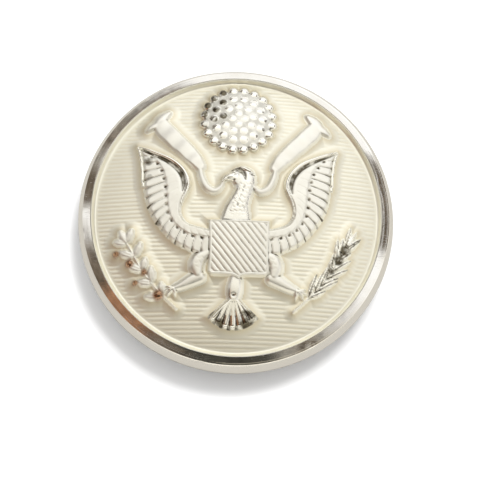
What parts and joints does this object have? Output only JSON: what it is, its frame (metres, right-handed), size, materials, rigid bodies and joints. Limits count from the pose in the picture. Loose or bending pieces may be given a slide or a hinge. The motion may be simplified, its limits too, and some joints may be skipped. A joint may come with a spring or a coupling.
{
  "type": "round screw-back cap badge",
  "caption": "Round domed metal cap badge with a struck heraldic bird, polished rolled rim, screw post, locating pins and thumb nut.",
  "frame": {"origin": "on the screw post's axis, in the plane of the thumb nut's outer face, on which the badge lies", "axes": "+Z along the post, out of the badge's face; +Y towards the top of the emblem; +X to the right of a person looking at the face"},
  "size_m": [0.04, 0.04, 0.0117],
  "materials": {
    "face_metal": "satin silver-gilt plating on struck brass, burnished on the high points",
    "rim_metal": "mirror-polished silver plating",
    "packing_card": "grey-brown pressed card",
    "anchor_steel": "plain mild steel",
    "back_metal": "satin nickel, lightly scratched",
    "post_brass": "turned brass",
    "solder": "dull soft solder",
    "washer_brass": "pressed brass, slightly tarnished",
    "nut_brass": "turned and knurled brass, slightly tarnished"
  },
  "bodies": {
    "badge": {"bezel_ring": "rim_metal", "face_plate": "face_metal", "packing_disc": "packing_card", "anchor_plate": "anchor_steel", "back_plate": "back_metal", "screw_post": "post_brass", "post_solder_ring": "solder", "locating_pin_left": "post_brass", "locating_pin_right": "post_brass", "pin_solder_left": "solder", "pin_solder_right": "solder"},
    "washer": {"cup_washer": "washer_brass"},
    "nut": {"thumb_nut": "nut_brass"}
  },
  "joints": [
    {"name": "washer_slide", "type": "slide", "parent": "badge", "child": "washer", "axis": [0, 0, -1], "range_m": [-0.00141, 0.00299]},
    {"name": "nut_turn", "type": "hinge", "parent": "washer", "child": "nut", "pos_m": [0, 0, 0.001], "axis": [0, 0, -1], "range_deg": [-720, 1530]}
  ],
  "couplings": [
    {"joint": "washer_slide", "follows": "nut_turn", "m_per_rad": 0.00011141}
  ]
}
